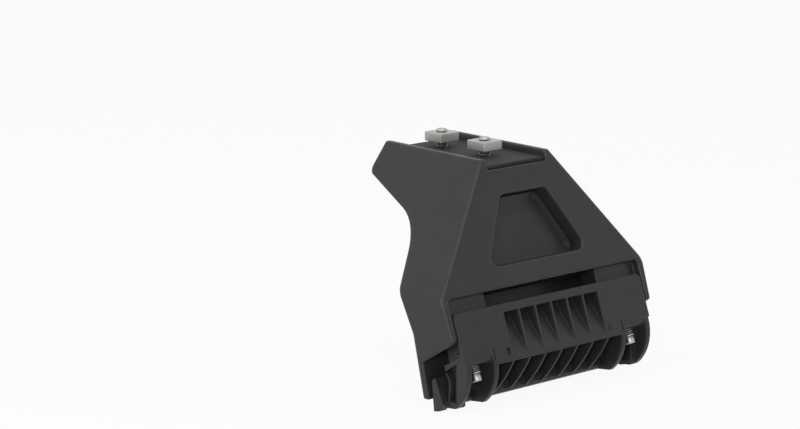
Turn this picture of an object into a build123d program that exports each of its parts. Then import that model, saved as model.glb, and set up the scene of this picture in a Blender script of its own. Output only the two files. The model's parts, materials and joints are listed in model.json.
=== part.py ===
from build123d import *
import math
import os

# A roof bar foot for a rain gutter, in millimetres.
# X runs along the gutter, -Y is outboard, +Y is inboard, Z is up.
# Z = 0 is the height of the grip on the gutter's lip, Y = 0 is the front of the foot blade there.
# Slope distances run down the front face from the knee, where the leg is widest.
# Depths run into the leg, square to the front face.

# Bar seat and arm
seat_height = 110.0
seat_width = 42.0
flange_height = 3.4
flange_thickness = 3.0
flange_round = 0.9
nose_round = 3.0
saddle_wall = 6.0
pad_thickness = 2.0
pad_gap = 0.5
pad_end_gap = 2.0
arm_reach = 85.5
arm_tip_depth = 11.4
arm_slope = 18.6
arm_tip_round = 5.0
arm_end_wall = 4.0

# Leg
front_lean = 20.7
knee_height = 52.5
knee_setout = 11.0
knee_width = 144.7
knee_drop = 1.2
knee_round = 9.0
post_length = 21.1
post_inset = 1.25
post_width = 3.2
post_round = 3.0
foot_inset = 1.55
foot_drop = 1.3
back_lean = 24.9
hip_height = 30.3
hip_round = 4.0
waist_round = 34.0
blade_thickness = 3.6
blade_lean = 13.5
cut_height = 17.4
front_wall = 4.0
side_wall = 3.8
blade_wall = 4.2
front_edge_round = 1.4

# Inner ribs, shelf and bolt bosses of the leg
rib_places = (16.0, 36.0)
leg_rib = 3.0
rib_setback = 3.0
shelf_rise = 3.5
slot_drop = 0.5
slot_round = 2.5
boss_half = 15.6
boss_setback = 4.4
boss_depth = 12.0
boss_length = 9.5

# Badge recess and panel
badge_low = 10.9
badge_top_gap = 14.3
badge_low_width = 69.8
badge_high_width = 32.0
badge_round = 4.0
badge_round_least = 1.0
badge_chamfer = 0.8
badge_depth = 11.4
badge_wall = 3.0
badge_fit = 0.25
badge_base = 1.8
badge_rim = 0.9
badge_dish = 3.2
badge_rim_rise = 1.6

# Clamp jaw
jaw_gap = 1.0
jaw_travel = 4.0
slot_spare = 3.6
travel_spare = 3.0
plate_length = 29.3
plate_thickness = 2.0
plate_round = 3.0
bar_height = 4.4
lip_land = 3.4
lip_web = 1.8
web_back = 2.0
pocket_count = 6
pocket_margin = 3.3
pocket_depth = 8.0
pocket_rib = 1.5
thin_rib = 1.2
dimple_length = 3.5
dimple_width = 3.0
dimple_depth = 1.6
groove_width = 0.8
groove_depth = 1.2
groove_length = 6.0
major_rib_offset = 11.0
major_rib = 3.0
housing_half = 17.8
housing_outer = 7.5
housing_lift = 1.9
housing_depth = 16.0
housing_round = 4.0
cheek_inset = 5.0
cheek_thickness = 3.0
cheek_bow = 4.7
thin_rib_bow = 1.1
scoop_start = 17.0
scoop_depth = 5.0
scoop_wall = 1.2
scoop_rim = 1.3
scoop_top_rim = 2.6
jaw_back_wall = 2.2
spine_setback = 6.0

# Gripping fin and the jaw's underside, as places in Y and Z
grip_gap = 3.0
fin_height = 8.8
fin_lean = 1.9
crest_back = 2.2
crest_rise = 1.8
toe_drop = 5.7
heel_back = 4.2
heel_rise = 1.0
fin_root_back = 6.5
fin_root_rise = 3.6
fin_end = 3.5
fin_end_drop = 1.4
rib_foot_front = 8.6
rib_foot_drop = 3.4
floor_thickness = 2.2
floor_height = 1.5
cheek_bottom_front = 15.0
cheek_bottom_drop = 3.8
cheek_waist = 10.1
cheek_waist_height = 8.6
jaw_back = 6.3

# Clamp bolts, washers and nuts
bolt_inset = 11.6
bolt_lean = 24.4
bolt_setback = 10.0
bolt_radius = 3.0
bolt_clearance = 0.4
bolt_past_lip = 5.9
bolt_point_length = 4.0
bolt_point_radius = 2.6
head_flats = 10.0
head_height = 4.0
head_gap = 0.1
washer_radius = 5.5
washer_thickness = 1.2
spring_radius = 4.9
spring_thickness = 1.5
spring_split = 1.2
nut_flats = 10.0
nut_height = 5.0
nut_fit = 0.15
thread_fit = 0.05
nut_setback = 2.0

# Bar screws
front_screw = 35.0
rear_screw_inset = 17.5
screw_head_radius = 5.0
screw_head_height = 6.0
socket_flats = 5.0
socket_depth = 3.0
channel_gap = 3.0
channel_nut_side = 13.0
channel_nut_height = 5.0
screw_past_nut = 1.5

# Places worked out from the sizes above
flange_top = seat_height + flange_height
seat_floor = seat_height - pad_thickness
cavity_top = seat_floor - saddle_wall
top_half = seat_width / 2 + flange_thickness
knee_half = knee_width / 2
widest_height = knee_height - knee_drop
post_half = knee_half - post_inset
foot_half = knee_half - foot_inset
frame_end_height = knee_height - post_length
opening_half = post_half - post_width
jaw_half = opening_half - jaw_gap
cheek_half = foot_half - cheek_inset
bolt_x = jaw_half - bolt_inset
boss_inner = bolt_x - boss_half
housing_inner = bolt_x - housing_half
housing_edge = bolt_x + housing_outer
major_rib_inner = bolt_x - major_rib_offset
rib_pitch = 2 * (housing_inner - pocket_margin) / pocket_count
jaw_top = slot_drop + jaw_travel + slot_spare
pocket_top = jaw_top + bar_height
lip_drop = jaw_top + plate_length
pocket_tip = lip_drop - lip_land
housing_top = slot_drop + boss_length + jaw_travel + travel_spare
housing_end = lip_drop - housing_lift
cut_gap = jaw_travel + travel_spare
screw_places = (front_screw, arm_reach - rear_screw_inset)
lean_sin = math.sin(math.radians(front_lean))
lean_cos = math.cos(math.radians(front_lean))
front_plane = Plane(origin=(0, -knee_setout, knee_height), x_dir=(1, 0, 0), z_dir=(0, -lean_cos, lean_sin))
bolt_sin = math.sin(math.radians(bolt_lean))
bolt_cos = math.cos(math.radians(bolt_lean))
bolt_origin = (-knee_setout + shelf_rise * lean_sin + bolt_setback * lean_cos,
               knee_height + shelf_rise * lean_cos - bolt_setback * lean_sin)
bolt_plane = Plane(origin=(0, *bolt_origin), x_dir=(1, 0, 0), z_dir=(0, -bolt_cos, bolt_sin))
bolt_end = shelf_rise + lip_drop + bolt_past_lip
nut_drop = shelf_rise + housing_end - nut_height - nut_setback
badge_high = (seat_height - badge_top_gap - knee_height) / lean_cos
reach = 2 * max(knee_width, arm_reach, seat_height)
spill = 5.0


def front_point(drop, depth):
    """Y and Z of a point a slope distance below the knee and a depth behind the front face."""
    y = -knee_setout - drop * lean_sin + depth * lean_cos
    z = knee_height - drop * lean_cos - depth * lean_sin
    return (y, z)


def front_at_height(z):
    """Point of the front face at a height."""
    return (-knee_setout + (z - knee_height) * lean_sin / lean_cos, z)


def blade_front(z):
    """Front of the foot blade at a height."""
    return z * math.tan(math.radians(blade_lean))


def back_edge(z):
    """Back edge of the leg at a height above the hip."""
    hip = blade_front(hip_height) + blade_thickness
    return hip + (z - hip_height) * math.tan(math.radians(back_lean))


def cut_edge(y):
    """Height of the leg's cut-out edge, above the jaw's end walls, at a reach."""
    tip = front_at_height(frame_end_height)
    heel = (blade_front(cut_height), cut_height)
    return tip[1] + (y - tip[0]) * (heel[1] - tip[1]) / (heel[0] - tip[0])


def jaw_edge(y):
    """Height of the top edge of the jaw's end walls at a reach."""
    return cut_edge(y) - cut_gap


def arm_under(y):
    """Underside of the arm at a reach."""
    return seat_height - arm_tip_depth - (arm_reach - y) * math.tan(math.radians(arm_slope))


def waist_point():
    """Where the leg's back edge meets the arm's underside."""
    back = math.tan(math.radians(back_lean))
    under = math.tan(math.radians(arm_slope))
    start = arm_under(back_edge(0.0))
    z = start / (1 - back * under)
    return (back_edge(z), z)


def rounded(points, radii):
    """Closed face with one radius for each corner."""
    return make_face(FilletPolyline(*points, radius=radii, close=True))


def along_x(face, low, high):
    """Solid from a Y and Z face, between two X places."""
    return Pos(low, 0, 0) * extrude(Plane.YZ * face, amount=high - low, dir=(1, 0, 0))


def polygon_x(points, low, high):
    """Solid from straight Y and Z corners, between two X places."""
    return along_x(make_face(Polyline(*points, close=True)), low, high)


def from_front(face, near, far):
    """Solid from a face drawn on the front plane, between two depths."""
    return front_plane * Pos(0, 0, -far) * extrude(face, amount=far - near, dir=(0, 0, 1))


def front_block(x_low, x_high, drop_low, drop_high, near, far):
    """Block between two X places, two slope distances and two depths."""
    size = Box(x_high - x_low, drop_high - drop_low, far - near)
    return front_plane * Pos((x_low + x_high) / 2, -(drop_low + drop_high) / 2, -(near + far) / 2) * size


def bolt_point(drop, depth):
    """Y and Z of a point a distance down a bolt's axis from the shelf's top and a depth behind it."""
    y = bolt_origin[0] - drop * bolt_sin + depth * bolt_cos
    z = bolt_origin[1] - drop * bolt_cos - depth * bolt_sin
    return (y, z)


def on_bolt_axis(x, drop, shape):
    """Turns a shape drawn along Z to run down a bolt's axis, from a distance below the shelf's top."""
    return bolt_plane * Pos(x, -drop, 0) * Rot(90, 0, 0) * shape


def rod(radius, length):
    """Cylinder from the origin along +Z."""
    return Cylinder(radius, length, align=(Align.CENTER, Align.CENTER, Align.MIN))


def hex_rod(flats, length):
    """Hexagonal bar from the origin along +Z."""
    return extrude(RegularPolygon(flats / 2, 6, major_radius=False), amount=length)


def ring(outer, inner, height):
    """Flat ring from the origin along +Z."""
    return rod(outer, height) - rod(inner, height)


def split_ring(outer, inner, height, gap):
    """Flat ring with one slit, from the origin along +Z."""
    slit = Pos(outer, 0, 0) * Box(2 * outer, gap, 4 * height)
    return ring(outer, inner, height) - slit


def corner_waste(corner, toward_a, toward_b, radius):
    """Sliver that rounding a corner of a side view takes away."""
    corner = Vector(*corner)
    a = (Vector(*toward_a) - corner).normalized()
    b = (Vector(*toward_b) - corner).normalized()
    half = math.radians(a.get_angle(b)) / 2
    inward = (a + b).normalized()
    run = radius / math.tan(half)
    bulge = corner + inward * (radius / math.sin(half) - radius)
    start = corner + a * run
    end = corner + b * run
    sides = Polyline(start, corner - inward * radius, end)
    return make_face([sides, ThreePointArc(end, bulge, start)])


def bowed(start, end, bow):
    """Arc between two points that stands out to the right of its chord."""
    start = Vector(*start)
    end = Vector(*end)
    along = (end - start).normalized()
    middle = (start + end) * 0.5 + Vector(along.Y, -along.X) * bow
    return ThreePointArc(start, middle, end)


def both_sides(shape):
    """A shape and its mirror image across X = 0."""
    return shape + mirror(shape, about=Plane.YZ)


def edges_at(shape, points):
    """The edge nearest to each point."""
    return [shape.edges().sort_by_distance(point)[0] for point in points]


def badge_outline(inset):
    """Rounded trapezoid of the badge recess on the front plane, drawn in by an inset."""
    slope = (badge_low_width - badge_high_width) / 2 / (badge_high - badge_low)
    side = inset * math.hypot(1, slope)
    low = badge_low + inset
    high = badge_high - inset
    low_half = badge_low_width / 2 - side - inset * slope
    high_half = badge_high_width / 2 - side + inset * slope
    corners = [(-low_half, low), (low_half, low), (high_half, high), (-high_half, high)]
    return rounded(corners, [max(badge_round - inset, badge_round_least)] * len(corners))


def leg_outline():
    """Side view of the leg: front face, cut-out, blade, back edge, waist, arm and flange top."""
    corners = [
        front_at_height(flange_top),
        front_at_height(frame_end_height),
        (blade_front(cut_height), cut_height),
        (blade_front(-foot_drop), -foot_drop),
        (blade_front(-foot_drop) + blade_thickness, -foot_drop),
        (blade_front(hip_height) + blade_thickness, hip_height),
        waist_point(),
        (arm_reach, arm_under(arm_reach)),
        (arm_reach, flange_top),
    ]
    return rounded(corners, [0, 0, 0, 0, 0, hip_round, waist_round, arm_tip_round, 0])


def leg_front_view():
    """Front view of the leg: narrow at the flanges, widest at the knee, drawn in to the foot."""
    half = [
        (top_half, flange_top),
        (knee_half, widest_height),
        (post_half, frame_end_height),
        (foot_half, -foot_drop),
    ]
    mirrored = [(-x, z) for x, z in reversed(half)]
    return make_face(Polyline(*half, *mirrored, close=True))


def leg_envelope():
    """Outer form of the leg with its edges rounded."""
    side = along_x(leg_outline(), -reach, reach)
    front = Pos(0, -reach, 0) * extrude(Plane.XZ * leg_front_view(), amount=2 * reach, dir=(0, 1, 0))
    body = side & front
    knee_back = back_edge(widest_height)
    knee_mid = (knee_back - knee_setout) / 2
    body = fillet(edges_at(body, [(s * knee_half, knee_mid, widest_height) for s in (-1, 1)]), knee_round)
    high = (widest_height + flange_top) / 2
    low = (widest_height + frame_end_height) / 2
    places = []
    for s in (-1, 1):
        places.append((s * (knee_half + top_half) / 2, front_at_height(high)[0], high))
        places.append((s * (knee_half + post_half) / 2, front_at_height(low)[0], low))
    body = fillet(edges_at(body, places), front_edge_round)
    top_mid = arm_reach / 2
    body = fillet(edges_at(body, [(s * top_half, top_mid, flange_top) for s in (-1, 1)]), flange_round)
    nose = front_at_height(flange_top)
    tip = front_at_height(frame_end_height)
    cut = (blade_front(cut_height), cut_height)
    body -= along_x(corner_waste(nose, (arm_reach, flange_top), tip, nose_round), -reach, reach)
    return body - along_x(corner_waste(tip, nose, cut, post_round), -reach, reach)


def upper_cavity():
    """Hollow above the shelf, open at the back and under the arm."""
    back = arm_reach - arm_end_wall
    shelf_back = (back - bolt_origin[0]) / bolt_cos
    shelf_front = (front_wall - bolt_setback) / math.cos(math.radians(bolt_lean - front_lean))
    corners = [
        bolt_point(0, shelf_front),
        front_point(-(cavity_top + front_wall * lean_sin - knee_height) / lean_cos, front_wall),
        (back, cavity_top),
        bolt_point(0, shelf_back),
    ]
    slope = (knee_half - top_half) / (flange_top - widest_height)
    wall = side_wall * math.hypot(1, slope)
    top = top_half + (flange_top - cavity_top) * slope - wall
    knee = knee_half - wall
    half = [(top, cavity_top), (knee, widest_height), (knee, -reach)]
    mirrored = [(-x, z) for x, z in reversed(half)]
    view = make_face(Polyline(*half, *mirrored, close=True))
    block = Pos(0, -reach, 0) * extrude(Plane.XZ * view, amount=2 * reach, dir=(0, 1, 0))
    return polygon_x(corners, -reach, reach) & block


def jaw_room():
    """Space in front of the blade and below the shelf, where the jaw slides."""
    top = -slot_drop
    window = Pos(0, top - reach / 2) * RectangleRounded(2 * opening_half, reach, slot_round)
    opening = from_front(window, -reach, reach)
    wall = blade_wall / math.cos(math.radians(back_lean))
    hip = (blade_front(hip_height), hip_height)
    corners = [
        (blade_front(-spill), -spill),
        hip,
        (back_edge(knee_height) - wall, knee_height),
        (back_edge(flange_top) - wall, flange_top),
        (-reach, flange_top),
        (-reach, -spill),
    ]
    return opening & polygon_x(corners, -reach, reach)


def leg_ribs():
    """Upright ribs between the saddle, the front wall and the shelf."""
    lift = rib_setback / math.cos(math.radians(arm_slope))
    back = rib_setback / math.cos(math.radians(back_lean))
    shelf_back = front_point(-shelf_rise / 2, boss_depth)
    waist = waist_point()
    corners = [
        front_point(-shelf_rise / 2, front_wall / 2),
        front_point(-(cavity_top + saddle_wall / 2 - knee_height) / lean_cos, front_wall / 2),
        (arm_reach - arm_end_wall / 2, cavity_top + saddle_wall / 2),
        (arm_reach - arm_end_wall / 2, arm_under(arm_reach - arm_end_wall / 2) + lift),
        (waist[0] - back / 2, waist[1] + lift),
        (back_edge(shelf_back[1]) - back, shelf_back[1] - boss_depth / 2),
    ]
    ribs = Part()
    for place in rib_places:
        ribs += both_sides(polygon_x(corners, place - leg_rib / 2, place + leg_rib / 2))
    return ribs


def leg_body():
    """The leg as one moulding."""
    envelope = leg_envelope()
    body = envelope - upper_cavity() - jaw_room()
    boss_far = boss_setback + boss_depth
    boss_outer = opening_half + post_width / 2
    boss = front_block(boss_inner, boss_outer, 0, slot_drop + boss_length, boss_setback, boss_far)
    pocket = from_front(badge_outline(-badge_wall), front_wall / 2, badge_depth + badge_wall)
    added = (leg_ribs() + both_sides(boss) + pocket) & envelope
    body = body + added
    body -= from_front(badge_outline(0.0), -spill, badge_depth)
    mouth = extrude(badge_outline(-badge_chamfer), amount=badge_chamfer, dir=(0, 0, -1), taper=45)
    body -= front_plane * mouth
    seat = Box(seat_width, 2 * reach, 2 * (flange_top - seat_floor))
    body -= Pos(0, 0, flange_top) * seat
    hole = bolt_radius + bolt_clearance
    for side in (-1, 1):
        body -= on_bolt_axis(side * bolt_x, -2 * shelf_rise, rod(hole, 4 * shelf_rise + 2 * boss_length))
    for place in screw_places:
        body -= Pos(0, place, cavity_top - saddle_wall) * rod(hole, 4 * saddle_wall)
    return body


def badge_panel():
    """Blank badge insert, dished behind a raised rim, seated on the recess floor."""
    base = from_front(badge_outline(badge_fit), badge_depth - badge_base, badge_depth)
    rim_top = badge_depth - badge_base - badge_rim_rise
    rim = from_front(badge_outline(badge_fit), rim_top, badge_depth - badge_base)
    inner = badge_fit + badge_rim
    mouth = Pos(0, 0, -rim_top) * badge_outline(inner)
    floor = Pos(0, 0, -rim_top - badge_rim_rise) * badge_outline(inner + badge_dish)
    return base + rim - front_plane * loft([floor, mouth])


def saddle_pad():
    """Rubber pad on the saddle between the flanges."""
    front = front_at_height(seat_floor)[0] + pad_end_gap
    back = arm_reach - pad_end_gap
    width = seat_width - 2 * pad_gap
    block = Box(width, back - front, pad_thickness, align=(Align.CENTER, Align.MIN, Align.MIN))
    pad = Pos(0, front, seat_floor) * block
    for place in screw_places:
        pad -= Pos(0, place, seat_floor - spill) * rod(bolt_radius + bolt_clearance, 4 * spill)
    return pad


# Underside of the jaw, as places in Y and Z
fin_shoulder = (blade_front(fin_height) - grip_gap, fin_height)
fin_crest = (fin_shoulder[0] - crest_back, fin_height + crest_rise)
fin_toe = (fin_shoulder[0] - fin_lean, -toe_drop)
fin_heel = (fin_toe[0] - heel_back, fin_toe[1] + heel_rise)
fin_root = (fin_toe[0] - fin_root_back, fin_toe[1] + fin_root_rise)
rib_foot = (-rib_foot_front, -rib_foot_drop)
cheek_bottom = (-cheek_bottom_front, -cheek_bottom_drop)
cheek_back = (-cheek_waist, cheek_waist_height)
back_foot = (-jaw_back, jaw_edge(-jaw_back))


def cheek_corner():
    """Where the top edge of an end wall meets the front face."""
    slope = jaw_edge(1.0) - jaw_edge(0.0)
    tangent = lean_sin / lean_cos
    z = (jaw_edge(0.0) - slope * (knee_setout + knee_height * tangent)) / (1 - slope * tangent)
    return front_at_height(z)


def cheek_face():
    """Side view of an end wall or a thick rib of the jaw."""
    start = front_point(housing_end - housing_round, 0)
    outline = Polyline(cheek_bottom, fin_heel, fin_root, cheek_back, back_foot, cheek_corner(), start)
    return make_face([outline, bowed(start, cheek_bottom, cheek_bow)])


def cheek_scoop():
    """Hollow in the outer face of the right end wall, rounded in from the front to a thin rim behind."""
    front = -scoop_start
    corners = [
        (front, jaw_edge(front) - scoop_top_rim),
        (back_foot[0] - scoop_rim, jaw_edge(back_foot[0]) - scoop_top_rim),
        (cheek_back[0] - scoop_rim, cheek_back[1]),
        (fin_root[0] - scoop_rim, fin_root[1] + scoop_rim),
        (front, cheek_bottom[1] + 2 * scoop_rim),
    ]
    floor = cheek_half - scoop_depth
    start = (cheek_half, front)
    end = (floor, front + scoop_depth)
    half_way = scoop_depth * math.sqrt(0.5)
    middle = (floor + half_way, front + half_way)
    sweep = Polyline(end, (floor, 0), (cheek_half + spill, 0), (cheek_half + spill, front), start)
    plan = make_face([sweep, ThreePointArc(start, middle, end)])
    return polygon_x(corners, 0, reach) & (Pos(0, 0, -reach) * extrude(plan, amount=2 * reach))


def cheek():
    """Right end wall, thicker behind its scoop."""
    wall = along_x(cheek_face(), cheek_half - cheek_thickness, cheek_half)
    inner = cheek_half - scoop_depth - scoop_wall
    behind = Box(reach, reach, 2 * reach, align=(Align.CENTER, Align.MIN, Align.CENTER))
    backing = along_x(cheek_face(), inner, cheek_half) & (Pos(inner, scoop_wall - scoop_start, 0) * behind)
    return wall + backing - cheek_scoop()


def thin_rib_face():
    """Side view of a thin rib below the lip."""
    lip = front_point(lip_drop, 0)
    back = front_point(housing_top, housing_depth / 2)
    web = front_point(pocket_tip, lip_web / 2)
    outline = Polyline(rib_foot, fin_heel, fin_crest, back_foot, back, web, lip)
    return make_face([outline, bowed(lip, rib_foot, thin_rib_bow)])


def jaw_web():
    """Top bar and sloping web between the major ribs, with the louvre pockets cut in."""
    edge = major_rib_inner + major_rib / 2
    bar_back = pocket_depth + web_back
    corners = [
        front_point(jaw_top, 0),
        front_point(jaw_top, bar_back),
        front_point(pocket_top + web_back, bar_back),
        front_point(lip_drop, lip_web),
        front_point(lip_drop, 0),
    ]
    web = polygon_x(corners, -edge, edge)
    room = front_block(housing_inner, edge + major_rib, 0, housing_top, plate_thickness, 2 * bar_back)
    web -= both_sides(room)
    first = -(pocket_count / 2) * rib_pitch
    ramp = [front_point(pocket_top, 0), front_point(pocket_top, pocket_depth), front_point(pocket_tip, 0)]
    above = [front_point(pocket_tip, -spill), front_point(pocket_top, -spill)]
    for cell in range(pocket_count):
        low = first + cell * rib_pitch + pocket_rib / 2
        web -= polygon_x(ramp + above, low, low + rib_pitch - pocket_rib)
    near = pocket_rib / 2 - first
    far = near + dimple_width
    wedge = make_face(Polyline((near, -dimple_depth), (far, 0), (far, spill), (near, spill), close=True))
    dimple = Pos(0, -pocket_tip, 0) * extrude(Plane.XZ * wedge, amount=dimple_length, dir=(0, 1, 0))
    return web - both_sides(front_plane * dimple)


def jaw_housing():
    """Nut housing of one side, rounded into the bolt pocket below it."""
    edge = major_rib_inner + major_rib / 2
    outer = cheek_half - cheek_thickness / 2
    lip = front_block(edge, outer, housing_end - 2 * housing_round, housing_end, 0, 2 * housing_round)
    corner = front_point(housing_end, 0)
    lip = fillet(edges_at(lip, [((edge + outer) / 2, *corner)]), housing_round)
    deep = front_block(edge, housing_edge, housing_top, housing_end, housing_round, housing_depth)
    plate_end = housing_end - housing_round
    near = plate_thickness / 2
    core = front_block(housing_inner, housing_edge, housing_top, plate_end, near, housing_depth)
    return lip + deep + core


def jaw_spine():
    """Gripping fin with deeper ends, cell floor and back wall across the jaw."""
    top_near = housing_depth / 2
    fin = [fin_toe, fin_shoulder, fin_crest, fin_root, fin_heel]
    end_toe = (fin_toe[0], fin_toe[1] - fin_end_drop)
    end_heel = (fin_heel[0], fin_heel[1] - fin_end_drop)
    fin_tip = [end_toe, fin_shoulder, fin_crest, fin_root, end_heel]
    low = [
        fin_toe,
        fin_shoulder,
        fin_crest,
        back_foot,
        (back_foot[0] - jaw_back_wall, back_foot[1]),
        (fin_heel[0] + floor_thickness, floor_height),
        rib_foot,
        fin_heel,
    ]
    high = [
        back_foot,
        front_point(housing_top, top_near + jaw_back_wall),
        front_point(housing_top, top_near),
        (back_foot[0] - jaw_back_wall, back_foot[1]),
    ]
    half = housing_edge - spine_setback
    spine = polygon_x(low, -half, half) + polygon_x(high, -half, half)
    spine += polygon_x(fin, -cheek_half, cheek_half)
    root = cheek_half - cheek_thickness / 2
    return spine + both_sides(polygon_x(fin_tip, root, cheek_half + fin_end))


def clamp_jaw():
    """The jaw as one ribbed moulding."""
    plate = front_block(-jaw_half, jaw_half, jaw_top, housing_end - housing_round, 0, plate_thickness)
    corners = [(s * jaw_half, *front_point(jaw_top, plate_thickness / 2)) for s in (-1, 1)]
    plate = fillet(edges_at(plate, corners), plate_round)
    plate -= front_block(-housing_inner, housing_inner, 0, lip_drop, -spill, 2 * plate_thickness)
    jaw = plate + jaw_web() + jaw_spine()
    jaw += both_sides(jaw_housing())
    jaw += both_sides(along_x(cheek_face(), major_rib_inner, major_rib_inner + major_rib))
    jaw += both_sides(cheek())
    low = major_rib_inner + (major_rib - groove_width) / 2
    top = housing_end - groove_length
    groove = front_block(low, low + groove_width, top, housing_end, -spill, groove_depth)
    jaw -= both_sides(groove)
    count = pocket_count + 1
    for index in range(count):
        place = (index - (count - 1) / 2) * rib_pitch
        jaw += along_x(thin_rib_face(), place - thin_rib / 2, place + thin_rib / 2)
    hole = bolt_radius + bolt_clearance
    for side in (-1, 1):
        jaw -= on_bolt_axis(side * bolt_x, shelf_rise, rod(hole, bolt_end))
        trap = hex_rod(nut_flats + 2 * nut_fit, 2 * nut_height)
        jaw -= on_bolt_axis(side * bolt_x, nut_drop, trap)
    return jaw


def clamp_bolt(side):
    """Hexagon bolt with a dog point, its head above the shelf."""
    seat = -washer_thickness - spring_thickness - head_gap
    length = bolt_end - seat
    bolt = rod(bolt_radius, length - bolt_point_length) + rod(bolt_point_radius, length)
    bolt += Pos(0, 0, -head_height) * hex_rod(head_flats, head_height)
    return on_bolt_axis(side * bolt_x, seat, bolt)


def clamp_washer(side):
    """Flat washer on the shelf."""
    shape = ring(washer_radius, bolt_radius + bolt_clearance, washer_thickness)
    return on_bolt_axis(side * bolt_x, -washer_thickness, shape)


def clamp_spring(side):
    """Split spring washer on the flat washer."""
    shape = split_ring(spring_radius, bolt_radius + bolt_clearance, spring_thickness, spring_split)
    return on_bolt_axis(side * bolt_x, -washer_thickness - spring_thickness, shape)


def clamp_nut(side):
    """Hexagon nut in the jaw's trap."""
    shape = hex_rod(nut_flats, nut_height) - rod(bolt_radius + thread_fit, nut_height)
    return on_bolt_axis(side * bolt_x, nut_drop, shape)


def bar_screw(place):
    """Socket screw through the saddle from below."""
    seat = cavity_top - washer_thickness - spring_thickness - head_gap
    end = seat_height + channel_gap + channel_nut_height + screw_past_nut
    head = rod(screw_head_radius, screw_head_height) - hex_rod(socket_flats, socket_depth)
    screw = rod(bolt_radius, end - seat) + Pos(0, 0, -screw_head_height) * head
    return Pos(0, place, seat) * screw


def bar_washer(place):
    """Flat washer under the saddle."""
    shape = ring(washer_radius, bolt_radius + bolt_clearance, washer_thickness)
    return Pos(0, place, cavity_top - washer_thickness) * shape


def bar_spring(place):
    """Split spring washer on the screw head."""
    shape = split_ring(spring_radius, bolt_radius + bolt_clearance, spring_thickness, spring_split)
    return Pos(0, place, cavity_top - washer_thickness - spring_thickness) * shape


def channel_nut(place):
    """Square nut for the bar's lower channel."""
    block = extrude(Rectangle(channel_nut_side, channel_nut_side), amount=channel_nut_height)
    shape = block - rod(bolt_radius + thread_fit, channel_nut_height)
    return Pos(0, place, seat_height + channel_gap) * shape


def nodes():
    """Every piece by name."""
    pieces = {
        "leg_body": leg_body(),
        "clamp_jaw": clamp_jaw(),
        "badge_panel": badge_panel(),
        "saddle_pad": saddle_pad(),
    }
    for name, side in (("left", -1), ("right", 1)):
        pieces["clamp_bolt_" + name] = clamp_bolt(side)
        pieces["clamp_washer_" + name] = clamp_washer(side)
        pieces["clamp_spring_" + name] = clamp_spring(side)
        pieces["clamp_nut_" + name] = clamp_nut(side)
    for name, place in zip(("front", "rear"), screw_places):
        pieces["bar_screw_" + name] = bar_screw(place)
        pieces["bar_washer_" + name] = bar_washer(place)
        pieces["bar_spring_" + name] = bar_spring(place)
        pieces["channel_nut_" + name] = channel_nut(place)
    return pieces


os.makedirs("parts", exist_ok=True)
for name, piece in nodes().items():
    export_step(piece, "parts/" + name + ".step")
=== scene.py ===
import json
import math

import bmesh
import bpy
from mathutils import Matrix, Vector
from mathutils.bvhtree import BVHTree
from mathutils.geometry import intersect_point_line


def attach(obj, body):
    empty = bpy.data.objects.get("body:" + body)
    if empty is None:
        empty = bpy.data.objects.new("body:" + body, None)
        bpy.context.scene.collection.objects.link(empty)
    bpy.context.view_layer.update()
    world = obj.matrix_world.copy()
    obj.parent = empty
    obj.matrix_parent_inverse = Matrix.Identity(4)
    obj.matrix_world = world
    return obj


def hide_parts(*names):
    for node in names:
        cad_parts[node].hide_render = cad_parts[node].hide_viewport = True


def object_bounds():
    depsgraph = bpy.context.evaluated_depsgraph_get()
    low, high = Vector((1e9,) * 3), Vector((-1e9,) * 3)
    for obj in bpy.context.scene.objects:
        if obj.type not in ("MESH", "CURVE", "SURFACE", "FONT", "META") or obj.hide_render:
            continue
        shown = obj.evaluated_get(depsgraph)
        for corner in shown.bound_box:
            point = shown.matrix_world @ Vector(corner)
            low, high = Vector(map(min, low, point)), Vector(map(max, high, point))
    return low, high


bl_info = {
    "name": "Roof Bar Foot",
    "version": (1, 0, 0),
    "blender": (4, 5, 0),
    "location": "3D View > Sidebar > Roof Bar Foot",
    "description": "Dresses a moulded roof bar foot with soft edges, threads, finishes and a studio",
    "category": "Object",
}

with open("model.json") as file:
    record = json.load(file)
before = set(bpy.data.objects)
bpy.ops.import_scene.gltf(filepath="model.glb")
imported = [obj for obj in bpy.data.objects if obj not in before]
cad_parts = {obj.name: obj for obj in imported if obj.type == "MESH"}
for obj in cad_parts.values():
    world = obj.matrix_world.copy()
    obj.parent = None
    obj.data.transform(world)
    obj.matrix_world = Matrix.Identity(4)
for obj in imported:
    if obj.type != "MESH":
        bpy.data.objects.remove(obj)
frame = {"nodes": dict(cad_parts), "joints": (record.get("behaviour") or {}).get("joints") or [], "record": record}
CAD_BOX = [list(corner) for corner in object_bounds()]
RECORD = frame["record"]
JOINTS = {joint["name"]: joint for joint in frame["joints"]}
BODY_OF = {
    node: body for body, nodes in RECORD["behaviour"]["bodies"].items() for node in nodes}
SIDES = ("left", "right")
PLACES = ("front", "rear")
MM = 0.001

# Marks on the meshes that the finishes read
# Painted highlight: faces of small outer roundings get a lighter colour
PAINTED_HIGHLIGHT = "rubbed"
# Painted shade: thread roots get a darker colour
PAINTED_SHADE = "grime"

# Softened mouldings, angles in degrees
WELD = 0.001 * MM
FLAT_TURN = 0.4
SHARP_TURN = 40.0
ROUND_STEPS = 2
MOST_TRIES = 20
NEAR_WIDTHS = 3
BOX_SLACK = 0.01 * MM
BROAD_FLAT = 40.0 * MM * MM
SHALLOW_FOLD = 0.6
MOULDED_CREASE = 50.0
TURNED_CREASE = 35.0
FLAT_WEIGHT = 100
SMALL_ROUND = 2.0 * MM

# Hexagons: their ends are turned down to a share of the size across the flats
HEX_SIDES = 6
TURNED_SHARE = 0.47
CHAMFER_SLOPE = 30.0
CHAMFER_STEPS = (0.0, 0.35, 0.7, 1.0)

# Threads
RINGS_PER_TURN = 16
FLANK_SLOPE = 2.4
ROOT_FLAT = 0.1

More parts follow.
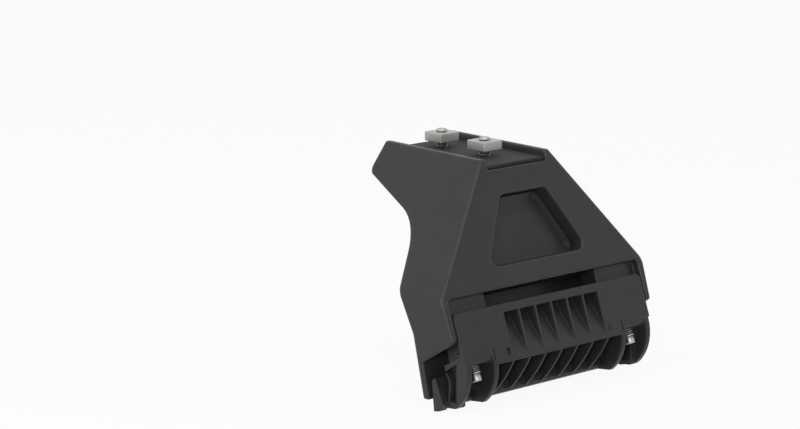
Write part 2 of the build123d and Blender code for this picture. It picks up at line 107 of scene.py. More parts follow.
# Finishes
SOFT_SAMPLES = 8
PLASTIC_SPECULAR = 0.23
RUBBER_SPECULAR = 0.35
COOL_TINT = (0.90, 0.93, 0.97)
# Painted shade: share of the zinc's colour left in the deepest thread roots
PAINTED_SHADE_TONE = 0.1

# Lamps: the setting of their power, their size and their place in metres
LAMPS = {
    "key_light": ("key_power", 0.7, (-1.2, 0.2, 0.75)),
    "front_light": ("front_power", 0.25, (-0.96, -0.84, 0.45)),
    "top_light": ("top_power", 0.2, (-0.28, -0.42, 1.35)),
    "right_light": ("right_power", 0.2, (0.36, -0.3, 0.2)),
}


def length(name, description, default):
    """Setting for a size in metres."""
    return bpy.props.FloatProperty(
        name=name, description=description, default=default, min=0.0, precision=5, unit="LENGTH")


def colour(name, description, default):
    """Setting for a linear colour."""
    return bpy.props.FloatVectorProperty(
        name=name, description=description, default=default, size=3, min=0.0, max=1.0,
        subtype="COLOR")


def factor(name, description, default):
    """Setting for a share between nothing and all."""
    return bpy.props.FloatProperty(
        name=name, description=description, default=default, min=0.0, max=1.0, subtype="FACTOR")


def ratio(name, description, default):
    """Setting for a multiple of a value."""
    return bpy.props.FloatProperty(name=name, description=description, default=default, min=0.0)


def power(name, description, default):
    """Setting for a lamp."""
    return bpy.props.FloatProperty(
        name=name, description=description, default=default, min=0.0, unit="POWER")


def turn(name, description, degrees):
    """Setting for an angle, given in degrees."""
    return bpy.props.FloatProperty(
        name=name, description=description, default=math.radians(degrees), unit="ROTATION")


class FootShape(bpy.types.PropertyGroup):
    """Sizes of the softened edges and of the fasteners' small forms."""
    leg_edge: length("Leg edge", "Width of the softened edges of the leg", 0.45 * MM)
    jaw_edge: length("Jaw edge", "Width of the softened edges of the jaw", 0.3 * MM)
    badge_edge: length("Badge edge", "Width of the softened edges of the badge panel", 0.35 * MM)
    pad_edge: length("Pad edge", "Width of the softened edges of the rubber pad", 0.4 * MM)
    washer_edge: length("Washer edge", "Width of the softened edges of the washers", 0.15 * MM)
    nut_edge: length("Nut edge", "Width of the softened edges of the square nuts", 0.4 * MM)
    thread_pitch: length("Thread pitch", "Axial distance between two thread crests", 1.0 * MM)
    thread_depth: length("Thread depth", "Height of the crests above their roots", 0.55 * MM)
    plain_shank: length("Plain shank", "Smooth length under a clamp bolt's head", 16.0 * MM)
    point_length: length("Dog point", "Length of the plain point of a clamp bolt", 4.0 * MM)
    hex_flats: length("Hexagon", "Size across the flats of bolt heads and nuts", 10.0 * MM)
    hex_head: length("Hexagon head", "Height of a clamp bolt's head", 4.0 * MM)
    screw_head: length("Screw head", "Height of a bar screw's head", 6.0 * MM)
    socket_flats: length("Socket", "Size across the flats of a bar screw's socket", 5.0 * MM)
    socket_depth: length("Socket depth", "Depth of a bar screw's socket", 3.0 * MM)
    knurl_depth: length("Knurl", "Depth of the grooves round a bar screw's head", 0.18 * MM)


class FootFinish(bpy.types.PropertyGroup):
    """Colours, gloss and painted edge highlights of the finishes."""
    leg_colour: colour("Leg", "Charcoal of the leg moulding", (0.031, 0.0309, 0.0325))
    jaw_colour: colour("Jaw", "Charcoal of the jaw moulding", (0.030, 0.0298, 0.0325))
    badge_colour: colour("Badge", "Charcoal of the blank badge panel", (0.028, 0.028, 0.029))
    rubber_colour: colour("Rubber", "Black of the rubber pad", (0.018, 0.018, 0.019))
    zinc_colour: colour("Zinc", "Grey of the zinc plated steel", (0.46, 0.455, 0.425))
    leg_gloss: factor("Leg roughness", "Roughness of the leg moulding", 0.37)
    jaw_gloss: factor("Jaw roughness", "Roughness of the jaw moulding", 0.37)
    badge_gloss: factor("Badge roughness", "Roughness of the badge panel", 0.36)
    zinc_gloss: factor("Zinc roughness", "Roughness of the zinc plated steel", 0.46)
    grain_size: length("Grain", "Size of the moulded texture's grains", 0.35 * MM)
    leg_soft: length("Leg softness", "Reach of the soft shading at the leg's edges", 2.4 * MM)
    jaw_soft: length("Jaw softness", "Reach of the soft shading at the jaw's edges", 1.0 * MM)
    badge_soft: length("Badge softness", "Reach of the soft shading at its edges", 1.2 * MM)
    # Painted highlight: how much lighter the colour of the small outer roundings is
    leg_highlight_paint: ratio("Leg painted highlight", "How much lighter the leg's rubbed edges are", 1.42)
    jaw_highlight_paint: ratio("Jaw painted highlight", "How much lighter the jaw's rubbed edges are", 1.0)
    badge_highlight_paint: ratio("Badge painted highlight", "How much lighter the badge's rubbed edges are", 1.2)


class FootStudio(bpy.types.PropertyGroup):
    """Camera, floor and lights."""
    lens: bpy.props.FloatProperty(
        name="Lens", description="Focal length", default=117.0, unit="CAMERA")
    azimuth: turn("Azimuth", "Turn of the camera round the foot", -41.4)
    elevation: turn("Elevation", "Height of the camera's view", 12.165)
    distance: length("Distance", "Camera distance from the point it looks at", 1.4117)
    aim: bpy.props.FloatVectorProperty(
        name="Aim", description="Point that the camera looks at", default=(0.0, 0.1015, 0.0675),
        subtype="XYZ", unit="LENGTH")
    floor_colour: colour("Floor", "Pale floor", (0.95, 0.95, 0.95))
    floor_glow: factor("Floor white", "How far the floor's picture goes to plain white", 0.93)
    ambient: factor("Ambient", "Strength of the light from all round", 0.36)
    key_power: power("Key light", "Power of the large light at the left", 6.2)
    front_power: power("Front light", "Power of the small light near the camera", 4.2)
    top_power: power("Top light", "Power of the small light overhead", 2.7)
    right_power: power("Right light", "Power of the faint light close by at the right", 0.04)


def new_piece(name, mesh):
    """A mesh object in the scene."""
    piece = bpy.data.objects.new(name, mesh)
    bpy.context.scene.collection.objects.link(piece)
    return piece


def stand_for(piece, node, finish):
    """Lets a dressed piece take the place of a CAD node, with its body and finish."""
    piece.data.materials.clear()
    piece.data.materials.append(finish_named(finish))
    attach(piece, BODY_OF[node])
    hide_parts(node)


def roundable(edge, width):
    """True for a sharp edge between two faces that are wide enough for its rounding."""
    if not edge.is_manifold or edge.calc_face_angle() < math.radians(SHARP_TURN):
        return False
    return all(face.calc_area() > 2 * width * edge.calc_length() for face in edge.link_faces)


def set_creases(shape, crease):
    """Smooth faces, with hard edges above a crease angle and at folds between broad flats."""
    for face in shape.faces:
        face.smooth = True
    for edge in shape.edges:
        fold = edge.calc_face_angle(math.pi)
        broad = all(face.calc_area() > BROAD_FLAT for face in edge.link_faces)
        hard_fold = broad and fold > math.radians(SHALLOW_FOLD)
        edge.smooth = fold < math.radians(crease) and not hard_fold


def mark_painted_highlight(shape):
    """Marks the faces of small outer roundings, which the finish lightens as a painted highlight."""
    layer = shape.faces.layers.float.new(PAINTED_HIGHLIGHT)
    for face in shape.faces:
        longest = max(edge.calc_length() for edge in face.edges)
        fold = sum(edge.calc_face_angle(0.0) / 2 for edge in face.edges
                   if edge.is_convex and edge.calc_length() > longest / 2)
        face[layer] = float(fold * SMALL_ROUND > face.calc_area() / longest)


def mark_painted_shade(shape, matrix, low, high, crest, depth):
    """Marks how far each corner of a thread lies below its crests, for painted shade in the thread roots."""
    layer = shape.verts.layers.float.new(PAINTED_SHADE)
    inverse = matrix.inverted()
    for vert in shape.verts:
        place = inverse @ vert.co
        if low < place.z < high:
            vert[layer] = min(1.0, max(0.0, (crest - place.xy.length) / depth))


def finished_piece(name, shape):
    """A scene piece from a mesh under construction, with normals that keep its flats flat."""
    mesh = bpy.data.meshes.new(name)
    shape.to_mesh(mesh)
    shape.free()
    piece = new_piece(name, mesh)
    weighted = piece.modifiers.new("Flat faces", "WEIGHTED_NORMAL")
    weighted.keep_sharp = True
    weighted.weight = FLAT_WEIGHT
    return piece


def joined_flats(node):
    """The mesh of a CAD node with the triangles of each flat face joined up."""
    shape = bmesh.new()
    shape.from_mesh(frame["nodes"][node].data)
    bmesh.ops.remove_doubles(shape, verts=shape.verts, dist=WELD)
    bmesh.ops.dissolve_limit(
        shape, angle_limit=math.radians(FLAT_TURN), verts=shape.verts, edges=shape.edges,
        delimit=set())
    bmesh.ops.recalc_face_normals(shape, faces=shape.faces)
    shape.edges.ensure_lookup_table()
    return shape


def fault_spots(shape, low, high):
    """Points where faces run through each other or a corner has left the CAD node's box."""
    shape.faces.ensure_lookup_table()
    tree = BVHTree.FromBMesh(shape)
    spots = []
    for first, second in tree.overlap(tree):
        faces = [shape.faces[first], shape.faces[second]]
        if first < second and not set(faces[0].verts).intersection(faces[1].verts):
            smaller = min(faces, key=lambda face: face.calc_area())
            spots.append(smaller.calc_center_median())
    for vert in shape.verts:
        if any(vert.co[i] < low[i] - BOX_SLACK or vert.co[i] > high[i] + BOX_SLACK
               for i in range(3)):
            spots.append(vert.co.copy())
    return spots


def distance_to(point, ends):
    """Distance from a point to the straight line between two ends."""
    _, share = intersect_point_line(point, *ends)
    return (point - ends[0].lerp(ends[1], min(1.0, max(0.0, share)))).length


def softened(node, name, width):
    """A copy of a CAD node with its sharp edges rounded off wherever there is room for it."""
    corners = [vert.co for vert in frame["nodes"][node].data.vertices]
    low = [min(corner[i] for corner in corners) for i in range(3)]
    high = [max(corner[i] for corner in corners) for i in range(3)]
    shape = joined_flats(node)
    chosen = {edge.index: (edge.calc_length(), [vert.co.copy() for vert in edge.verts])
              for edge in shape.edges if roundable(edge, width)}
    for _ in range(MOST_TRIES):
        bmesh.ops.bevel(
            shape, geom=[shape.edges[index] for index in chosen], offset=width,
            offset_type="OFFSET", segments=ROUND_STEPS, profile=0.5, affect="EDGES",
            clamp_overlap=False, loop_slide=True, miter_outer="SHARP", material=-1)
        spots = fault_spots(shape, low, high)
        if not spots:
            break
        # The shortest edge near each fault stays sharp in the next try
        for spot in spots:
            apart = {index: distance_to(spot, ends) for index, (_, ends) in chosen.items()}
            near = [index for index in chosen if apart[index] < NEAR_WIDTHS * width]
            if not near:
                near = [min(chosen, key=apart.get)]
            chosen.pop(min(near, key=lambda index: chosen[index][0]))
        shape.free()
        shape = joined_flats(node)
    set_creases(shape, MOULDED_CREASE)
    # Small outer roundings are marked for the painted highlight
    mark_painted_highlight(shape)
    return finished_piece(name, shape)


def dress(node, name, width, finish):
    """Puts a softened copy of a CAD node in its place."""
    stand_for(softened(node, name, width), node, finish)


def skin(name, rings, closed=False, thread=None):
    """A mesh over rings of equal counts of points, capped at its ends or closed on itself."""
    shape = bmesh.new()
    loops = [[shape.verts.new(point) for point in ring] for ring in rings]
    pairs = list(zip(loops, loops[1:]))
    if closed:
        pairs.append((loops[-1], loops[0]))
    count = len(loops[0])
    for low, high in pairs:
        for i in range(count):
            j = (i + 1) % count
            shape.faces.new((low[i], low[j], high[j], high[i]))
    if not closed:
        shape.faces.new(list(reversed(loops[0])))
        shape.faces.new(loops[-1])
    bmesh.ops.recalc_face_normals(shape, faces=shape.faces)
    set_creases(shape, TURNED_CREASE)
    # The thread's roots are marked for painted shade
    if thread is not None:
        mark_painted_shade(shape, *thread)
    return finished_piece(name, shape)


def axis_frame(joint):
    """Matrix whose Z runs along a joint's axis from its place, with X along the gutter."""
    along = Vector(joint["axis"]).normalized()
    across = Vector((1.0, 0.0, 0.0))
    matrix = Matrix((across, along.cross(across), along)).transposed().to_4x4()
    matrix.translation = Vector(joint["pos_m"])
    return matrix


def reach_along(node, matrix):
    """Lowest and highest place of a CAD node along the Z of a frame."""
    inverse = matrix.inverted()
    heights = [(inverse @ vert.co).z for vert in frame["nodes"][node].data.vertices]
    return min(heights), max(heights)


def ring_of(matrix, height, count, radius_at):
    """Ring of points round a frame's Z, with a radius for each of them."""
    ring = []
    for i in range(count):
        angle = 2 * math.pi * i / count
        radius = radius_at(i)
        ring.append(matrix @ Vector((radius * math.cos(angle), radius * math.sin(angle), height)))
    return ring


def round_ring(matrix, height, radius, count):
    """Circle of points round a frame's Z."""
    return ring_of(matrix, height, count, lambda i: radius)


def hex_ring(matrix, height, flats, count, limit=math.inf):
    """Hexagon of points round a frame's Z with its corners cut back to a radius."""
    sector = 2 * math.pi / HEX_SIDES

    def radius_at(i):
        angle = 2 * math.pi * i / count
        return min(limit, flats / 2 / math.cos((angle % sector) - sector / 2))

    return ring_of(matrix, height, count, radius_at)


def hex_end(matrix, height, inward, flats, count):
    """Rings of a hexagon from its turned-down end to its full corners, up or down its axis."""
    turned = TURNED_SHARE * flats
    cut = flats / math.sqrt(3) - turned
    drop = cut * math.tan(math.radians(CHAMFER_SLOPE))
    return [hex_ring(matrix, height + inward * share * drop, flats, count, turned + share * cut)
            for share in CHAMFER_STEPS]


def thread_rings(matrix, low, high, radius, shape, count):
    """Rings of a right-hand screw thread that runs out at both ends."""
    pitch = shape.thread_pitch
    steps = max(2, round((high - low) / pitch * RINGS_PER_TURN))
    rings = []
    for step in range(steps + 1):
        height = low + (high - low) * step / steps
        fade = min(1.0, (height - low) / pitch, (high - height) / pitch)

        def radius_at(i):
            phase = (height / pitch - i / count) % 1.0
            flank = min(1.0, max(0.0, FLANK_SLOPE * abs(phase - 0.5) - ROOT_FLAT))
            return radius - shape.thread_depth * (1.0 - flank) * fade

        rings.append(ring_of(matrix, height, count, radius_at))
    return rings


def node_tree(name):
    """A fresh material, its node tree, its surface shader and the place on the piece."""
    material = bpy.data.materials.new(name)
    material.use_nodes = True
    tree = material.node_tree
    surface = tree.nodes["Principled BSDF"]
    place = tree.nodes.new("ShaderNodeTexCoord").outputs["Object"]
    return material, tree, surface, place


def noise(tree, place, size, detail, roughness=0.5):
    """Noise whose blobs have a size in metres."""
    node = tree.nodes.new("ShaderNodeTexNoise")
    node.inputs["Scale"].default_value = 1.0 / size
    node.inputs["Detail"].default_value = detail
    node.inputs["Roughness"].default_value = roughness
    tree.links.new(place, node.inputs["Vector"])
    return node.outputs["Fac"]


def spread(tree, value, low, high, start=0.3, end=0.7):
    """A value between two limits as an input goes from a start to an end."""
    node = tree.nodes.new("ShaderNodeMapRange")
    node.inputs["From Min"].default_value = start
    node.inputs["From Max"].default_value = end
    node.inputs["To Min"].default_value = low
    node.inputs["To Max"].default_value = high
    tree.links.new(value, node.inputs["Value"])
    return node.outputs["Result"]


def blend_colour(tree, share, first, second):
    """Colour that goes from a first to a second by a share."""
    node = tree.nodes.new("ShaderNodeMix")
    node.data_type = "RGBA"
    tree.links.new(share, node.inputs["Factor"])
    for socket, value in (("A", first), ("B", second)):
        target = [s for s in node.inputs if s.name == socket and s.type == "RGBA"][0]
        if isinstance(value, bpy.types.NodeSocket):
            tree.links.new(value, target)
        else:
            target.default_value = (*value, 1.0)
    return [s for s in node.outputs if s.type == "RGBA"][0]


def bump(tree, height, strength, distance, normal=None):
    """Normal with a fine relief on it."""
    node = tree.nodes.new("ShaderNodeBump")
    node.inputs["Strength"].default_value = strength
    node.inputs["Distance"].default_value = distance
    tree.links.new(height, node.inputs["Height"])
    if normal is not None:
        tree.links.new(normal, node.inputs["Normal"])
    return node.outputs["Normal"]


def soft_normal(tree, radius):
    """Normal that rolls over the edges within a radius."""
    node = tree.nodes.new("ShaderNodeBevel")
    node.samples = SOFT_SAMPLES
    node.inputs["Radius"].default_value = radius
    return node.outputs["Normal"]


def mesh_mark(tree, name):
    """Value of a mark on the mesh."""
    node = tree.nodes.new("ShaderNodeAttribute")
    node.attribute_name = name
    return node.outputs["Fac"]


def scaled(tone, share):
    """A colour made lighter or darker."""
    return tuple(min(1.0, channel * share) for channel in tone)


def moulded_plastic(name, tone, gloss, grain, soft, highlight_paint):
    """Satin charcoal moulding with a spark-eroded grain, faint flow marks and a painted highlight on its small
    roundings.
    """
    material, tree, surface, place = node_tree(name)
    fine = noise(tree, place, size=grain, detail=3.0, roughness=0.6)
    flow = noise(tree, place, size=40 * grain, detail=2.0)
    dark, light = scaled(tone, 0.92), scaled(tone, 1.08)
    base = blend_colour(tree, spread(tree, flow, low=0.0, high=1.0), dark, light)
    # Painted highlight: the marked small roundings take a lighter colour in place of the light they catch
    highlighted = blend_colour(tree, mesh_mark(tree, PAINTED_HIGHLIGHT), base, scaled(tone, highlight_paint))
    tree.links.new(highlighted, surface.inputs["Base Color"])
    rough = spread(tree, fine, low=gloss - 0.05, high=gloss + 0.06)
    tree.links.new(rough, surface.inputs["Roughness"])
    surface.inputs["Specular IOR Level"].default_value = PLASTIC_SPECULAR
    relief = bump(
        tree, fine, strength=0.2, distance=0.1 * grain, normal=soft_normal(tree, soft))
    tree.links.new(relief, surface.inputs["Normal"])
    return material


def matt_rubber(name, tone, grain):
    """Dull black rubber with a dusty bloom."""
    material, tree, surface, place = node_tree(name)
    fine = noise(tree, place, size=grain, detail=3.0, roughness=0.6)
    bloom = noise(tree, place, size=30 * grain, detail=3.0)
    dusty = spread(tree, bloom, low=0.0, high=1.0, start=0.4, end=0.75)
    base = blend_colour(tree, dusty, tone, scaled(tone, 1.5))
    tree.links.new(base, surface.inputs["Base Color"])
    tree.links.new(spread(tree, fine, low=0.66, high=0.82), surface.inputs["Roughness"])
    surface.inputs["Specular IOR Level"].default_value = RUBBER_SPECULAR
    relief = bump(tree, fine, strength=0.35, distance=0.2 * grain)
    tree.links.new(relief, surface.inputs["Normal"])
    return material


def zinc_plate(name, tone, gloss, grain):
    """Bright zinc plated steel with a faint mottle, fine tool marks and painted shade in the thread roots."""
    material, tree, surface, place = node_tree(name)
    mottle = noise(tree, place, size=6 * grain, detail=3.0)
    fine = noise(tree, place, size=0.4 * grain, detail=2.0)
    cool = tuple(channel * tint for channel, tint in zip(tone, COOL_TINT))
    base = blend_colour(tree, spread(tree, mottle, low=0.0, high=1.0), tone, cool)
    # Painted shade: the thread roots are darkened in colour, in place of the shade that falls there
    sunk = spread(tree, mesh_mark(tree, PAINTED_SHADE), low=0.0, high=1.0, start=0.3, end=0.75)
    shaded_roots = blend_colour(tree, sunk, base, scaled(tone, PAINTED_SHADE_TONE))
    tree.links.new(shaded_roots, surface.inputs["Base Color"])
    surface.inputs["Metallic"].default_value = 1.0
    rough = spread(tree, mottle, low=gloss - 0.06, high=gloss + 0.08)
    tree.links.new(rough, surface.inputs["Roughness"])
    relief = bump(tree, fine, strength=0.2, distance=0.05 * grain)
    tree.links.new(relief, surface.inputs["Normal"])
    return material


def finish_named(name):
    """The finish of that name, made on first use."""
    if name in bpy.data.materials:
        return bpy.data.materials[name]
    finish = bpy.context.scene.foot_finish
    grain = finish.grain_size
    makers = {
        "leg_charcoal": lambda: moulded_plastic(
            name, finish.leg_colour, finish.leg_gloss, grain, finish.leg_soft, finish.leg_highlight_paint),
        "jaw_charcoal": lambda: moulded_plastic(
            name, finish.jaw_colour, finish.jaw_gloss, grain, finish.jaw_soft, finish.jaw_highlight_paint),
        "badge_charcoal": lambda: moulded_plastic(
            name, finish.badge_colour, finish.badge_gloss, grain, finish.badge_soft,
            finish.badge_highlight_paint),
        "pad_rubber_black": lambda: matt_rubber(name, finish.rubber_colour, grain),
        "zinc_bright": lambda: zinc_plate(name, finish.zinc_colour, finish.zinc_gloss, grain),
    }
    return makers[name]()


class FOOT_OT_leg(bpy.types.Operator):
    """Makes the leg moulding with softened edges"""
    bl_idname = "foot.leg"
    bl_label = "Leg moulding"

    def execute(self, context):
        shape = context.scene.foot_shape
        dress("leg_body", "leg_moulding", shape.leg_edge, "leg_charcoal")
        return {"FINISHED"}


class FOOT_OT_jaw(bpy.types.Operator):
    """Makes the ribbed jaw moulding with softened edges"""
    bl_idname = "foot.jaw"
    bl_label = "Jaw moulding"

    def execute(self, context):
        shape = context.scene.foot_shape
        dress("clamp_jaw", "jaw_moulding", shape.jaw_edge, "jaw_charcoal")
        return {"FINISHED"}


class FOOT_OT_badge(bpy.types.Operator):
    """Makes the blank badge panel with softened edges"""
    bl_idname = "foot.badge"
    bl_label = "Badge panel"

    def execute(self, context):
        shape = context.scene.foot_shape
        dress("badge_panel", "badge_blank", shape.badge_edge, "badge_charcoal")
        return {"FINISHED"}


class FOOT_OT_pad(bpy.types.Operator):
    """Makes the rubber pad of the saddle"""
    bl_idname = "foot.pad"
    bl_label = "Saddle pad"

    def execute(self, context):
        shape = context.scene.foot_shape
        dress("saddle_pad", "saddle_rubber", shape.pad_edge, "pad_rubber_black")
        return {"FINISHED"}


class FOOT_OT_washers(bpy.types.Operator):
    """Makes the flat washers, split spring washers and square channel nuts"""
    bl_idname = "foot.washers"
    bl_label = "Washers and channel nuts"
    kinds = ("washer", "spring")

    def execute(self, context):
        shape = context.scene.foot_shape
        nodes = ["clamp_%s_%s" % (kind, side) for side in SIDES for kind in self.kinds]
        nodes += ["bar_%s_%s" % (kind, place) for place in PLACES for kind in self.kinds]
        edges = {node: shape.washer_edge for node in nodes}
        edges.update({"channel_nut_" + place: shape.nut_edge for place in PLACES})
        for node, edge in edges.items():
            dress(node, node + "_zinc", edge, "zinc_bright")
        return {"FINISHED"}


class FOOT_OT_clamp_bolts(bpy.types.Operator):
    """Makes the two clamp bolts with chamfered heads, threads and dog points"""
    bl_idname = "foot.clamp_bolts"
    bl_label = "Clamp bolts"
    count = 48
    shank_radius = 3.0 * MM
    point_radius = 2.6 * MM
    point_chamfer = 0.35 * MM

    def execute(self, context):
        shape = context.scene.foot_shape
        count, radius = self.count, self.shank_radius
        for side in SIDES:
            node = "clamp_bolt_" + side
            matrix = axis_frame(JOINTS["bolt_%s_turn" % side])
            top, tip = reach_along(node, matrix)
            seat = top + shape.hex_head
            thread = seat + shape.plain_shank
            shoulder = tip - shape.point_length
            rings = hex_end(matrix, top, 1, shape.hex_flats, count)
            rings.append(hex_ring(matrix, seat, shape.hex_flats, count))
            rings.append(round_ring(matrix, seat, radius, count))
            rings.append(round_ring(matrix, thread, radius, count))
            rings += thread_rings(matrix, thread, shoulder, radius, shape, count)[1:]
            for height, end_radius in (
                    (shoulder, self.point_radius),
                    (tip - self.point_chamfer, self.point_radius),
                    (tip, self.point_radius - self.point_chamfer)):
                rings.append(round_ring(matrix, height, end_radius, count))
            grooves = (matrix, thread, shoulder, radius, shape.thread_depth)
            stand_for(skin(node + "_zinc", rings, thread=grooves), node, "zinc_bright")
        return {"FINISHED"}


class FOOT_OT_clamp_nuts(bpy.types.Operator):
    """Makes the two hexagon nuts that ride in the jaw"""
    bl_idname = "foot.clamp_nuts"
    bl_label = "Clamp nuts"
    count = 48
    bore = 3.05 * MM
    countersink = 0.45 * MM

    def execute(self, context):
        shape = context.scene.foot_shape
        count, bore, sink = self.count, self.bore, self.countersink
        for side in SIDES:
            node = "clamp_nut_" + side
            matrix = axis_frame(JOINTS["bolt_%s_turn" % side])
            low, high = reach_along(node, matrix)
            rings = hex_end(matrix, low, 1, shape.hex_flats, count)
            rings += reversed(hex_end(matrix, high, -1, shape.hex_flats, count))
            for height, radius in (
                    (high, bore + sink), (high - sink, bore),
                    (low + sink, bore), (low, bore + sink)):
                rings.append(round_ring(matrix, height, radius, count))
            stand_for(skin(node + "_zinc", rings, closed=True), node, "zinc_bright")
        return {"FINISHED"}


class FOOT_OT_bar_screws(bpy.types.Operator):
    """Makes the two knurled socket screws of the saddle"""
    bl_idname = "foot.bar_screws"
    bl_label = "Bar screws"
    count = 72
    head_radius = 5.0 * MM
    shank_radius = 3.0 * MM
    chamfer = 0.5 * MM
    tip_chamfer = 0.6 * MM

    def knurled_ring(self, matrix, height, depth):
        """Circle whose every second point is sunk by a groove's depth."""
        return ring_of(matrix, height, self.count,
                       lambda i: self.head_radius - (depth if i % 2 else 0.0))

    def execute(self, context):
        shape = context.scene.foot_shape
        count, radius, head = self.count, self.shank_radius, self.head_radius
        for place in PLACES:
            node = "bar_screw_" + place
            matrix = axis_frame(JOINTS["screw_%s_turn" % place])
            low, tip = reach_along(node, matrix)
            seat = low + shape.screw_head
            end = tip - self.tip_chamfer
            rings = [hex_ring(matrix, low + shape.socket_depth, shape.socket_flats, count)]
            rings.append(hex_ring(matrix, low, shape.socket_flats, count))
            rings.append(round_ring(matrix, low, head - self.chamfer, count))
            for height in (low + self.chamfer, seat - self.chamfer / 2):
                rings.append(self.knurled_ring(matrix, height, shape.knurl_depth))
            rings.append(round_ring(matrix, seat, head - self.chamfer / 2, count))
            rings.append(round_ring(matrix, seat, radius, count))
            rings += thread_rings(matrix, seat, end, radius, shape, count)[1:]
            rings.append(round_ring(matrix, tip, radius - self.tip_chamfer, count))
            grooves = (matrix, seat, end, radius, shape.thread_depth)
            stand_for(skin(node + "_zinc", rings, thread=grooves), node, "zinc_bright")
        return {"FINISHED"}


def seen_rays(tree):
    """One for camera, glossy and transmission rays, nothing for the rest."""
    path = tree.nodes.new("ShaderNodeLightPath")
    share = path.outputs["Is Camera Ray"]
    for ray in ("Is Glossy Ray", "Is Transmission Ray"):
        node = tree.nodes.new("ShaderNodeMath")
        node.operation = "MAXIMUM"
        tree.links.new(share, node.inputs[0])
        tree.links.new(path.outputs[ray], node.inputs[1])
        share = node.outputs["Value"]
    return share


def show_mix(tree, share, first, second, output):
    """Sends a mix of two shaders to an output node of the given kind."""
    mix = tree.nodes.new("ShaderNodeMixShader")
    tree.links.new(share, mix.inputs["Fac"])
    tree.links.new(first, mix.inputs[1])
    tree.links.new(second, mix.inputs[2])
    target = tree.nodes.new(output)
    tree.links.new(mix.outputs["Shader"], target.inputs["Surface"])


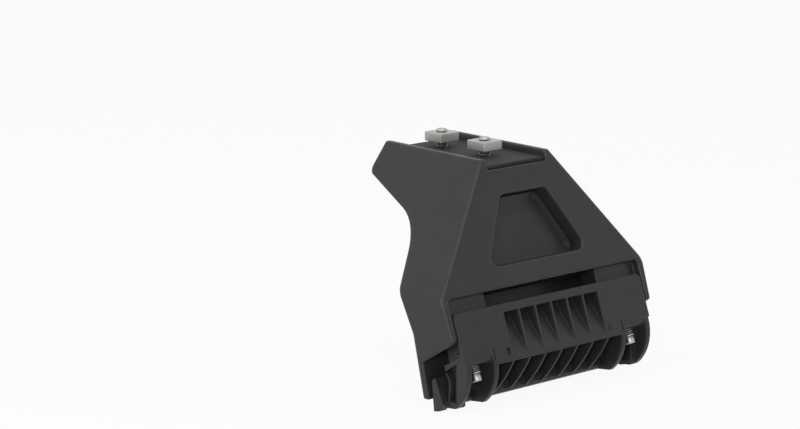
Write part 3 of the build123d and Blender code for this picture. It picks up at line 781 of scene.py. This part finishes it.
class FOOT_OT_studio(bpy.types.Operator):
    """Makes the floor, the lights, the white surroundings and the camera"""
    bl_idname = "foot.studio"
    bl_label = "Studio"
    floor_half = 8.0
    sensor_width = 36.0
    clip_start = 0.05
    clip_end = 50.0

    def floor(self, studio):
        """Pale floor under the lowest point, which keeps the shadow."""
        low, half = CAD_BOX[0][2], self.floor_half
        corners = [(-half, -half, low), (half, -half, low), (half, half, low), (-half, half, low)]
        mesh = bpy.data.meshes.new("studio_floor")
        mesh.from_pydata(corners, [], [(0, 1, 2, 3)])
        new_piece("studio_floor", mesh)
        material = bpy.data.materials.new("floor_pale")
        material.use_nodes = True
        tree = material.node_tree
        tree.nodes.clear()
        matt = tree.nodes.new("ShaderNodeBsdfDiffuse")
        matt.inputs["Color"].default_value = (*studio.floor_colour, 1.0)
        white = tree.nodes.new("ShaderNodeEmission")
        share = tree.nodes.new("ShaderNodeMath")
        share.operation = "MULTIPLY"
        share.inputs[1].default_value = studio.floor_glow
        tree.links.new(seen_rays(tree), share.inputs[0])
        show_mix(tree, share.outputs["Value"], matt.outputs["BSDF"], white.outputs["Emission"],
                 "ShaderNodeOutputMaterial")
        mesh.materials.append(material)

    def surroundings(self, studio):
        """White all round for what is seen, and a softer level as light."""
        world = bpy.data.worlds.new("studio_white")
        bpy.context.scene.world = world
        world.use_nodes = True
        tree = world.node_tree
        tree.nodes.clear()
        shaders = []
        for strength in (studio.ambient, 1.0):
            node = tree.nodes.new("ShaderNodeBackground")
            node.inputs["Color"].default_value = (1.0, 1.0, 1.0, 1.0)
            node.inputs["Strength"].default_value = strength
            shaders.append(node.outputs["Background"])
        show_mix(tree, seen_rays(tree), *shaders, "ShaderNodeOutputWorld")

    def soft_light(self, name, energy, size, place, aim):
        """Square soft light that looks at a point."""
        data = bpy.data.lights.new(name, "AREA")
        data.energy = energy
        data.size = size
        lamp = bpy.data.objects.new(name, data)
        bpy.context.scene.collection.objects.link(lamp)
        lamp.location = place
        lamp.rotation_euler = (aim - Vector(place)).to_track_quat("-Z", "Y").to_euler()

    def camera(self, studio):
        """Camera at the photograph's angle."""
        data = bpy.data.cameras.new("view_camera")
        data.lens = studio.lens
        data.sensor_width = self.sensor_width
        data.clip_start = self.clip_start
        data.clip_end = self.clip_end
        camera = bpy.data.objects.new("view_camera", data)
        bpy.context.scene.collection.objects.link(camera)
        azimuth, rise = studio.azimuth, studio.elevation
        back = Vector((math.sin(azimuth) * math.cos(rise), -math.cos(azimuth) * math.cos(rise),
                       math.sin(rise)))
        camera.location = Vector(studio.aim) + back * studio.distance
        camera.rotation_euler = (math.pi / 2 - rise, 0.0, azimuth)
        bpy.context.scene.camera = camera

    def execute(self, context):
        studio = context.scene.foot_studio
        self.floor(studio)
        self.surroundings(studio)
        low, high = (Vector(corner) for corner in CAD_BOX)
        for name, (setting, size, place) in LAMPS.items():
            self.soft_light(name, getattr(studio, setting), size, place, (low + high) / 2)
        self.camera(studio)
        context.scene.view_settings.view_transform = "Standard"
        return {"FINISHED"}


OPERATORS = (
    FOOT_OT_leg,
    FOOT_OT_jaw,
    FOOT_OT_badge,
    FOOT_OT_pad,
    FOOT_OT_washers,
    FOOT_OT_clamp_bolts,
    FOOT_OT_clamp_nuts,
    FOOT_OT_bar_screws,
    FOOT_OT_studio,
)
GROUPS = {"foot_shape": FootShape, "foot_finish": FootFinish, "foot_studio": FootStudio}


class FOOT_PT_panel(bpy.types.Panel):
    """Lists the pieces and their settings"""
    bl_idname = "FOOT_PT_panel"
    bl_label = "Roof Bar Foot"
    bl_space_type = "VIEW_3D"
    bl_region_type = "UI"
    bl_category = "Roof Bar Foot"

    def draw(self, context):
        layout = self.layout
        for operator in OPERATORS:
            layout.operator(operator.bl_idname)
        for name, group in GROUPS.items():
            box = layout.box()
            for setting in group.__annotations__:
                box.prop(getattr(context.scene, name), setting)


def register():
    """Registers the classes and hangs the settings on the scene."""
    for name, group in GROUPS.items():
        bpy.utils.register_class(group)
        setattr(bpy.types.Scene, name, bpy.props.PointerProperty(type=group))
    for operator in OPERATORS:
        bpy.utils.register_class(operator)
    bpy.utils.register_class(FOOT_PT_panel)


def unregister():
    """Takes the classes and settings away again."""
    bpy.utils.unregister_class(FOOT_PT_panel)
    for operator in reversed(OPERATORS):
        bpy.utils.unregister_class(operator)
    for name, group in GROUPS.items():
        delattr(bpy.types.Scene, name)
        bpy.utils.unregister_class(group)


def main():
    """Builds every piece and the studio."""
    register()
    for operator in OPERATORS:
        group, name = operator.bl_idname.split(".")
        getattr(getattr(bpy.ops, group), name)()


if __name__ == "__main__":
    main()
